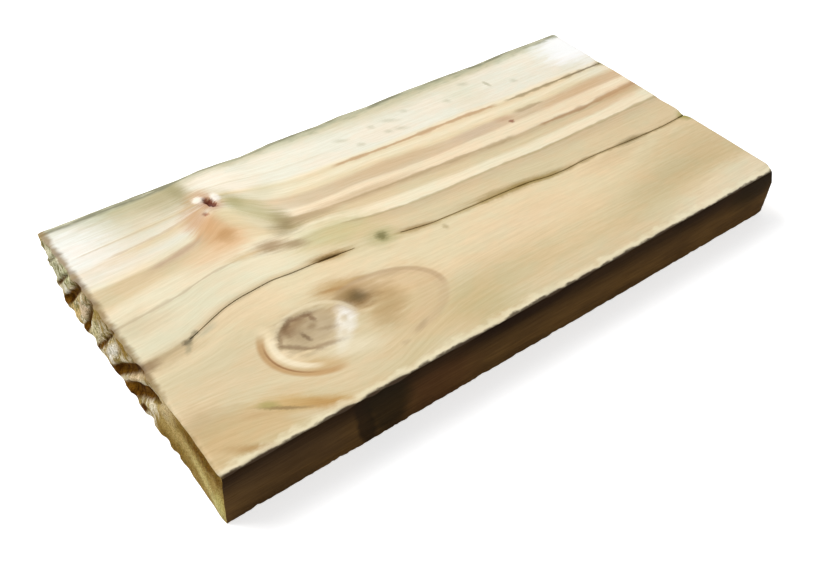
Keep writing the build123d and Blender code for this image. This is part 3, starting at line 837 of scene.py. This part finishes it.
colour = lay_spots(tree, colour, loose_place, rough, BROAD_TONES_AND_HIGHLIGHTS)
mottle = soft_noise(tree, place, (0.05, 0.1, 0.1), 4.0, 0.6)
mottle_tone = between(tree, mottle, 0.36, 0.64, (255, 249, 243), (249, 251, 248))
colour = blend(tree, 1.0, colour, mottle_tone, "MULTIPLY")
colour = lay_lines(tree, colour, figure, [
    (51.6, 1.2, 24, 80, (176, 168, 138), 0.4),
    (51.3, 1.8, -8, 24, (178, 160, 124), 0.6),
    (51.4, 1.4, 110, 156, (176, 152, 100), 0.6),
    (51.5, 2.1, 150, 200, (160, 134, 74), 0.75),
    (51.4, 1.6, 194, 285, (156, 132, 84), 0.65),
    (70, 1.1, 98, 285, (180, 162, 120), 0.65),
    (70, 0.8, -8, 58, (198, 180, 148), 0.6),
    (83.6, 1.5, 101, 200, (180, 156, 118), 0.7),
    (83.4, 1.8, 211, 285, (166, 126, 86), 0.65),
    (83.4, 1.4, 24, 54, (190, 160, 136), 0.5),
    (97.2, 1.6, 208, 230, (168, 142, 106), 0.65),
    (97.4, 1.2, 14, 62, (210, 186, 154), 0.55),
    (106, 1.0, 4, 60, (210, 192, 160), 0.5),
    (106, 1.5, 116, 209, (190, 150, 110), 0.75),
    (106, 1.5, 211, 285, (150, 128, 88), 0.75),
    (118, 0.9, 20, 120, (224, 214, 186), 0.4),
])
for marks in (SMALL_KNOT_MARKS, CHECK_MARKS, FRONT_MARKS, BAND_MARKS + fleck_marks):
    colour = lay_spots(tree, colour, rough_place, rough, marks)

# The rings round the large knot: the brown line that let go, partly painted shade in its
# groove, the cream lip inside it, partly a painted highlight, and the outline of the swirl to its right.
arc_group, given, result = new_group(
    "knot ring", ["Place", "Centre", "Size", "Toward"], ["Breadth", "Reach", "Strength"], ["Mask"])
from_centre = vector_maths(arc_group, "SUBTRACT", given["Place"], given["Centre"])
scaled = vector_maths(arc_group, "DIVIDE", from_centre, given["Size"])
radius = vector_maths(arc_group, "LENGTH", scaled)
off_ring = maths(arc_group, "ABSOLUTE", maths(arc_group, "SUBTRACT", radius, 1.0))
on_ring = spread(arc_group, maths(arc_group, "DIVIDE", off_ring, given["Breadth"]), 0.25, 1.0, 1.0, 0.0)
facing = vector_maths(arc_group, "DOT_PRODUCT", vector_maths(arc_group, "NORMALIZE", scaled),
                      vector_maths(arc_group, "NORMALIZE", given["Toward"]))
in_reach = spread(arc_group, facing, given["Reach"], maths(arc_group, "ADD", given["Reach"], 0.3))
arc_mask = maths(arc_group, "MULTIPLY", maths(arc_group, "MULTIPLY", on_ring, in_reach), given["Strength"])
arc_group.links.new(arc_mask, result["Mask"])


def lay_arcs(tree, colour, place, arcs):
    """Arcs round a knot. Each is (centre, size, breadth, toward, reach, colour, strength)."""
    for centre, size, breadth, toward, reach, tint, strength in arcs:
        arc = add_node(tree, "ShaderNodeGroup",
                       {"Place": place, "Centre": (*centre, 0), "Size": (*size, ANY_HEIGHT),
                        "Breadth": breadth, "Toward": (*toward, 0), "Reach": reach, "Strength": strength},
                       node_tree=arc_group)
        colour = blend(tree, arc.outputs["Mask"], colour, srgb(*tint))
    return colour


colour = lay_spots(tree, colour, rough_place, rough, LARGE_KNOT_MARKS)
colour = lay_arcs(tree, colour, place, [
    (KNOT_RING_AT, (22.2, 17.9), 0.11, (-1, -0.5), 0.4, (186, 142, 86), 0.75),
    (KNOT_RING_AT, (18.2, 14.6), 0.11, (-1, -0.35), 0.6, (249, 236, 206), 0.75),
    (KNOT_RING_AT, (21.4, 17.2), 0.03, (-1, -0.35), 0.7, (136, 92, 46), 0.65),
    ((60, 34.4), (16.6, 13.2), 0.10, (0.2, 1), 0.2, (236, 221, 187), 0.5),
    (SWIRL_AT, SWIRL_SIZE, 0.08, (0.7, 0.9), 0.35, (178, 150, 112), 0.6),
    (SWIRL_AT, (25.2, 15.6), 0.16, (1, 0.1), -0.2, (204, 176, 140), 0.4),
    (SWIRL_AT, (19.0, 11.4), 0.3, (1, 0.2), -0.1, (214, 188, 150), 0.35),
])

# Over the figure: the streaks of the fibre, a duller torn side, a painted highlight on the
# back right corner and a back margin that is blotched with grey.
streak = fibre(tree, figure, 26.0, 0.9)
fine_streak = fibre(tree, figure, 5.0, 0.28)
colour = shade(tree, colour, spread(tree, streak.outputs["Streak"], 0.3, 0.7), (248, 246, 242))
colour = shade(tree, colour, spread(tree, fine_streak.outputs["Streak"], 0.35, 0.65), (250, 249, 246))
place_parts = parts_of(tree, place)
place_along = place_parts["X"]
place_across = place_parts["Y"]
dull_side = maths(tree, "MULTIPLY", spread(tree, place_along, 36, 72, 1.0, 0.0),
                  spread(tree, place_across, 48, 62))
colour = blend(tree, dull_side, colour, blend(tree, 1.0, colour, srgb(245, 244, 242), "MULTIPLY"))
# A painted highlight on the back right corner.
BACK_CORNER_HIGHLIGHT = ((272, 125.5), (15, 13), 20, 0.85, (252, 252, 250), 1.0)
colour = lay_spots(tree, colour, place, rough, [BACK_CORNER_HIGHLIGHT])
blotch = swing(tree, soft_noise(tree, place, (0.1, 0.35, 0.0), 5.0, 0.6), 14.0, place_across)
back_grey = maths(tree, "MULTIPLY", spread(tree, blotch, 133.5, 138.5, 0.0, 0.75),
                  spread(tree, place_along, 60, 110, 0.35, 1.0))
colour = blend(tree, back_grey, colour, srgb(158, 160, 130))

# The margins: a painted highlight along the front arris, a darker grey wane, brown walls in the
# checks that are partly painted shade, and dark stain and painted shade where the front edge
# and the torn end reach the face.
nibble = swing(tree, soft_noise(tree, place, (0.16, 0.3, 0.0), 4.0), 4.0)
arris_glint = maths(tree, "MULTIPLY_ADD", nibble, 2.0, place_across)
colour = blend(tree, spread(tree, arris_glint, 2.0, 4.6, 0.5, 0.0), colour, srgb(246, 238, 206))
wane_patches = soft_noise(tree, place, (0.09, 0.4, 0.3), 4.0)
wane_tone = between(tree, wane_patches, 0.38, 0.62, (114, 112, 86), (178, 174, 146))
wane_share = maths(tree, "MULTIPLY", spread(tree, kept_value(tree, "wane"), 0.0, 0.4), 0.85)
colour = blend(tree, wane_share, colour, wane_tone)
colour = blend(tree, spread(tree, kept_value(tree, "check_wall"), 0.04, 0.5), colour, srgb(116, 94, 52))
colour = blend(tree, spread(tree, kept_value(tree, "front_loss"), 0.12, 0.5), colour, srgb(66, 46, 22))
front_stain_and_shade = spread(tree, maths(tree, "ADD", place_across, nibble), 0.5, 1.5, 0.9, 0.0)
colour = blend(tree, front_stain_and_shade, colour, srgb(62, 43, 20))
torn_tone = blend(tree, kept_value(tree, "furrow_stain_and_shade"), srgb(128, 102, 52), srgb(78, 50, 12))
torn_reach = spread(tree, place_across, 34, 46, 1.0, 2.0)
from_torn = maths(tree, "DIVIDE", maths(tree, "ADD", place_along, nibble), torn_reach)
torn_lip = maths(tree, "MULTIPLY", spread(tree, from_torn, 0.5, 1.9, 0.85, 0.0),
                 spread(tree, place_across, 34, 46, 0.4, 1.0))
colour = blend(tree, torn_lip, colour, torn_tone)
relief = mean_of(tree, fine_streak.outputs["Relief"], streak.outputs["Relief"])
dress(tree, shader, colour, relief, 0.4, 0.16, 0.35)
tree.links.new(spread(tree, streak.outputs["Streak"], 0.3, 0.7, 0.72, 0.56), shader.inputs["Roughness"])


# The front edge: sawn, and darkened nearly black-brown along its top by stain and painted
# shade, browner towards its foot, with two darker patches below the chips.


def laid_flat(tree, sideways, upward):
    """The place on an upright face, with how far up in the place of how far across."""
    return add_node(tree, "ShaderNodeCombineXYZ", {"X": sideways, "Y": upward}).outputs[0]


edge, tree, shader, place = new_finish("front_edge_stain_and_shade")
parts = parts_of(tree, place)
edge_place = laid_flat(tree, parts["X"], parts["Z"])
patches = soft_noise(tree, edge_place, (0.035, 0.11, 0.0), 4.0)
rough = swing(tree, patches, 1.2)
low_tone = between(tree, patches, 0.35, 0.65, (104, 76, 40), (124, 92, 48))
high_tone = between(tree, patches, 0.35, 0.65, (46, 29, 12), (62, 42, 20))
colour = blend(tree, spread(tree, swing(tree, patches, 12.0, parts["Z"]), 9, 23), low_tone, high_tone)
colour = lay_spots(tree, colour, edge_place, rough, [
    ((90, 8), (16, 11), 0, 0.6, (98, 60, 34), 0.55),
    ((24, 12), (26, 10), 0, 0.5, (92, 70, 46), 0.45),
    ((55.5, 13), (3.6, 16), 12, 0.3, (42, 29, 15), 0.8),
    ((65, 15), (9, 14), 18, 0.35, (40, 31, 14), 0.8),
    ((130, 23), (22, 3), 0, 0.6, (38, 20, 6), 0.7),
    ((266, 18), (14, 8), 0, 0.6, (44, 32, 10), 0.75),
])
streak = fibre(tree, edge_place, 18.0, 0.8)
colour = shade(tree, colour, spread(tree, streak.outputs["Streak"], 0.3, 0.7), (216, 210, 200))
dress(tree, shader, colour, streak.outputs["Relief"], 0.6, 0.4, 0.08)
shader.inputs["Roughness"].default_value = 0.85

# The torn end: olive and straw fibre ends, mossy towards the back, dark brown down in the
# pockets from stain and painted shade, and one smooth stretch near the front.
torn_end, tree, shader, place = new_finish("torn_end")
parts = parts_of(tree, place)
end_place = laid_flat(tree, parts["Y"], parts["Z"])
mottle = soft_noise(tree, end_place, (0.25, 0.16, 0.0), 4.0, 0.6)
rough = swing(tree, mottle, 1.4)
tufts = between(tree, mottle, 0.4, 0.6, (172, 148, 84), (240, 230, 202))
smooth_tone = between(tree, mottle, 0.4, 0.6, (164, 138, 72), (182, 156, 92))
slant = maths(tree, "MULTIPLY_ADD", parts["Z"], 0.36, parts["Y"])
colour = blend(tree, spread(tree, slant, 46, 50, 1.0, 0.0), tufts, smooth_tone)
colour = lay_spots(tree, colour, end_place, rough, [
    ((12, 9), (13, 3.0), 30, 0.8, (222, 206, 138), 0.8),
    ((5, 4), (3.4, 2.6), 0, 0.8, (226, 220, 156), 0.8),
    ((78, 24), (36, 3.2), 0, 0.9, (142, 112, 46), 0.75),
    ((44, 24), (9, 3), 0, 0.9, (176, 148, 92), 0.6),
    # The dark band at (12, 22), under the top arris, is painted shade.
    ((12, 22), (15, 3.8), 0, 0.8, (112, 76, 8), 0.95),
    ((3, 8), (2.6, 5.4), 0, 0.6, (216, 206, 130), 0.7),
    ((30, 14), (8, 3.2), 10, 0.8, (204, 178, 116), 0.6),
    ((38, 21), (6, 5), -40, 0.6, (214, 194, 150), 0.8),
    ((34, 3.6), (14, 4.4), 0, 0.8, (136, 104, 34), 0.8),
    ((61, 15), (2.4, 12), 43, 0.5, (230, 204, 164), 0.8),
    # The near-white bits at (79, 12), (83, 5) and (121, 8) are painted highlights on the fibre bundles.
    ((79, 12), (2.0, 10), 42, 0.5, (250, 246, 234), 0.9),
    ((69, 22), (2.6, 8), 42, 0.6, (158, 126, 52), 0.7),
    ((90, 21), (3.2, 8), 36, 0.6, (164, 136, 62), 0.75),
    ((96, 7), (2.8, 9), 34, 0.6, (224, 216, 168), 0.75),
    ((83, 5), (2.6, 2.4), 0, 0.6, (252, 248, 238), 0.85),
    ((121, 8), (2.6, 3.4), 20, 0.6, (248, 246, 232), 0.85),
    ((104, 12), (2.2, 9), 34, 0.5, (240, 216, 186), 0.8),
    ((113, 3), (3, 6), 34, 0.5, (236, 206, 140), 0.7),
    ((116, 20), (4, 8), 38, 0.5, (214, 216, 170), 0.8),
    ((128, 16), (8, 12), 38, 0.6, (222, 224, 192), 0.8),
])
moss = soft_noise(tree, place, (0.4, 0.42, 0.2), 5.0, 0.7)
mossy = maths(tree, "MULTIPLY", spread(tree, moss.outputs["Fac"], 0.5, 0.6),
              spread(tree, parts["Y"], 50, 110, 0.25, 0.85))
colour = blend(tree, mossy, colour, srgb(112, 108, 54))
deep_tone = between(tree, mottle, 0.4, 0.6, (74, 42, 0), (118, 80, 18))
colour = blend(tree, spread(tree, kept_value(tree, "furrow_stain_and_shade"), 0.15, 0.8), colour, deep_tone)
speck = soft_noise(tree, place, (1.2, 1.6, 1.6), 3.0)
colour = shade(tree, colour, spread(tree, speck.outputs["Fac"], 0.35, 0.6), (200, 190, 170))
dress(tree, shader, colour, speck.outputs["Fac"], 0.8, 0.6, 0.03)
shader.inputs["Roughness"].default_value = 0.85

# The sawn end, the back edge and the underside: plain sawn wood that shows the same rings,
# with saw marks across it and a little grime.
END_BANDS = [
    (-52, WARM_CREAM), (-46, TAN), (-45, CREAM), (-38, STRAW), (-33, DEEP_TAN), (-32, WARM_CREAM),
    (-25, STRAW), (-20, TAN), (-19, CREAM), (-10, STRAW), (-4, DEEP_TAN), (-3, WARM_CREAM), (10, STRAW),
    (24, HONEY), (26, CREAM), (40, STRAW), (50, HONEY), (52.5, CREAM), (64, SAND), (69.8, TAN), (71, CREAM),
    (77, SAND), (83.4, DEEP_TAN), (84.6, WARM_CREAM), (96.4, ROSE_TAN), (98.4, CREAM), (105.6, TAN),
    (107, CREAM), (118, SAND), (119, PALE), (129, HONEY), (131, PALE)]


def plain_sawn(name, tint, saw_direction, saw_pitch, length, breadth):
    """A plain sawn surface, with saw marks this far apart and fibre of this length and breadth."""
    material, tree, shader, place = new_finish(name)
    drift = soft_noise(tree, place, (0.03, 0.08, 0.08), 1.0)
    colour = band_ramp(tree, swing(tree, drift, 2.4, kept_value(tree, "ring")), END_BANDS)
    colour = blend(tree, 1.0, colour, srgb(*tint), "MULTIPLY")
    grain = fibre(tree, place, length, breadth)
    colour = shade(tree, colour, spread(tree, grain.outputs["Streak"], 0.3, 0.7), (222, 216, 204))
    grime = soft_noise(tree, place, (0.02, 0.05, 0.06), 5.0)
    grimy = spread(tree, grime.outputs["Fac"], 0.5, 0.75, 0.0, 0.4)
    colour = blend(tree, grimy, colour, srgb(150, 134, 100))
    # The walls of the checks are darkened, partly as painted shade.
    wall = spread(tree, kept_value(tree, "check_wall"), 0.3, 0.9, 0.0, 0.8)
    colour = blend(tree, wall, colour, srgb(60, 44, 20))
    saw_marks = add_node(tree, "ShaderNodeTexWave",
                         {"Vector": vector_maths(tree, "MULTIPLY", place, saw_direction),
                          "Scale": math.tau / 20 / saw_pitch, "Distortion": 1.2, "Detail": 2.0,
                          "Detail Scale": 0.3})
    relief = maths(tree, "MULTIPLY_ADD", saw_marks.outputs["Fac"], 0.35, grain.outputs["Relief"])
    dress(tree, shader, colour, relief, 0.5, 0.4, 0.3)
    shader.inputs["Roughness"].default_value = 0.75
    return material


sawn_end = plain_sawn("sawn_end", (222, 204, 172), (0.0, 0.25, 1.0), 5.0, 0.5, 0.5)
back_edge = plain_sawn("back_edge", (214, 206, 178), (1.0, 0.0, 0.0), 6.0, 24.0, 0.9)
underside = plain_sawn("underside", (228, 216, 190), (1.0, 0.12, 0.0), 7.0, 24.0, 0.9)

# Each side of the net gets its own finish, and the top face gets the first. Faces are
# smooth, but the arrises stay sharp.
for finish in (face, edge, torn_end, sawn_end, back_edge, underside):
    board_mesh.materials.append(finish)
FRONT_SLOT, TORN_SLOT, SAWN_SLOT, BACK_SLOT, UNDER_SLOT = range(1, 6)
corners = np.empty(len(board_mesh.loops), dtype=np.int32)
board_mesh.loops.foreach_get("vertex_index", corners)
corners_by_face = corners.reshape(-1, 4)
face_slots = np.zeros(len(corners_by_face), dtype=np.int32)
for indices, outermost, slot in ((row, 0, FRONT_SLOT), (row, len(rows) - 1, BACK_SLOT),
                                 (column, 0, TORN_SLOT), (column, len(columns) - 1, SAWN_SLOT),
                                 (level, 0, UNDER_SLOT)):
    face_slots[(indices[corners_by_face] == outermost).all(axis=1)] = slot
board_mesh.polygons.foreach_set("material_index", face_slots)
board_mesh.polygons.foreach_set("use_smooth", np.ones(len(corners_by_face), dtype=bool))
board_mesh.update()
SHARP_FROM = math.radians(52)
board_mesh.set_sharp_from_angle(angle=SHARP_FROM)

# The floor: plain and pale, white to the camera so that only the soft shadow shows. It
# lies just under the board.
FLOOR_HALF = 4.0
FLOOR_GAP = 0.0002
FLOOR_GLOW = 0.6
floor_mesh = bpy.data.meshes.new("floor")
floor_net = bmesh.new()
bmesh.ops.create_grid(floor_net, x_segments=1, y_segments=1, size=FLOOR_HALF)
floor_net.to_mesh(floor_mesh)
floor_net.free()
floor = bpy.data.objects.new("floor", floor_mesh)
floor.location = (0, 0, board_low.z - FLOOR_GAP)
bpy.context.scene.collection.objects.link(floor)
floor_paint = bpy.data.materials.new("pale_floor")
floor_paint.use_nodes = True
tree = floor_paint.node_tree
floor_shader = tree.nodes["Principled BSDF"]
floor_shader.inputs["Base Color"].default_value = (0.9, 0.9, 0.9, 1)
floor_shader.inputs["Roughness"].default_value = 0.9
floor_shader.inputs["Specular IOR Level"].default_value = 0.0
floor_shader.inputs["Emission Color"].default_value = (1, 1, 1, 1)
floor_path = add_node(tree, "ShaderNodeLightPath")
floor_glow = maths(tree, "MULTIPLY", floor_path.outputs["Is Camera Ray"], FLOOR_GLOW)
tree.links.new(floor_glow, floor_shader.inputs["Emission Strength"])
floor_mesh.materials.append(floor_paint)

# Soft studio light: a broad key high over the back left corner and a weak pale sky. The
# sky is white to the camera and to gloss.
KEY_PLACE = Vector((-0.55, 0.75, 1.15))
KEY_WATTS = 22
SKY_LEVEL = 0.35
key_light = bpy.data.lights.new("key", "AREA")
key_light.shape = "RECTANGLE"
key_light.size = 1.1
key_light.size_y = 0.8
key_light.energy = KEY_WATTS
key = bpy.data.objects.new("key", key_light)
key.location = KEY_PLACE
key.rotation_euler = (-KEY_PLACE).to_track_quat("-Z", "Y").to_euler()
bpy.context.scene.collection.objects.link(key)

sky = bpy.data.worlds.new("sky")
sky.use_nodes = True
tree = sky.node_tree
background = tree.nodes["Background"]
background.inputs["Color"].default_value = (1, 1, 1, 1)
light_path = add_node(tree, "ShaderNodeLightPath")
seen = light_path.outputs["Is Camera Ray"]
for ray in ("Is Glossy Ray", "Is Transmission Ray"):
    seen = maths(tree, "MAXIMUM", seen, light_path.outputs[ray])
sky_strength = spread(tree, seen, 0, 1, SKY_LEVEL, 1.0, smooth=False)
tree.links.new(sky_strength, background.inputs["Strength"])
bpy.context.scene.world = sky

# The camera, where the photograph was taken from. Its place is in millimetres from the
# board's low front corner at the torn end.
CAMERA_PLACE = Vector((-72.41, -164.92, 282.11))
AZIMUTH = math.radians(-40.666)
ELEVATION = math.radians(44.069)
ROLL = math.radians(4.198)
SENSOR = 36
LENS = 43.637
back_way = Vector((math.sin(AZIMUTH) * math.cos(ELEVATION), -math.cos(AZIMUTH) * math.cos(ELEVATION),
                   math.sin(ELEVATION)))
level_right = Vector((math.cos(AZIMUTH), math.sin(AZIMUTH), 0))
level_up = back_way.cross(level_right)
right = level_right * math.cos(ROLL) + level_up * math.sin(ROLL)
upward = level_up * math.cos(ROLL) - level_right * math.sin(ROLL)
camera_data = bpy.data.cameras.new("camera")
camera_data.sensor_width = SENSOR
camera_data.lens = LENS
camera = bpy.data.objects.new("camera", camera_data)
turn = Matrix((right, upward, back_way)).transposed().to_4x4()
camera.matrix_world = Matrix.Translation(board_low + CAMERA_PLACE * MM) @ turn
bpy.context.scene.collection.objects.link(camera)
bpy.context.scene.camera = camera
bpy.context.scene.view_settings.view_transform = "Standard"
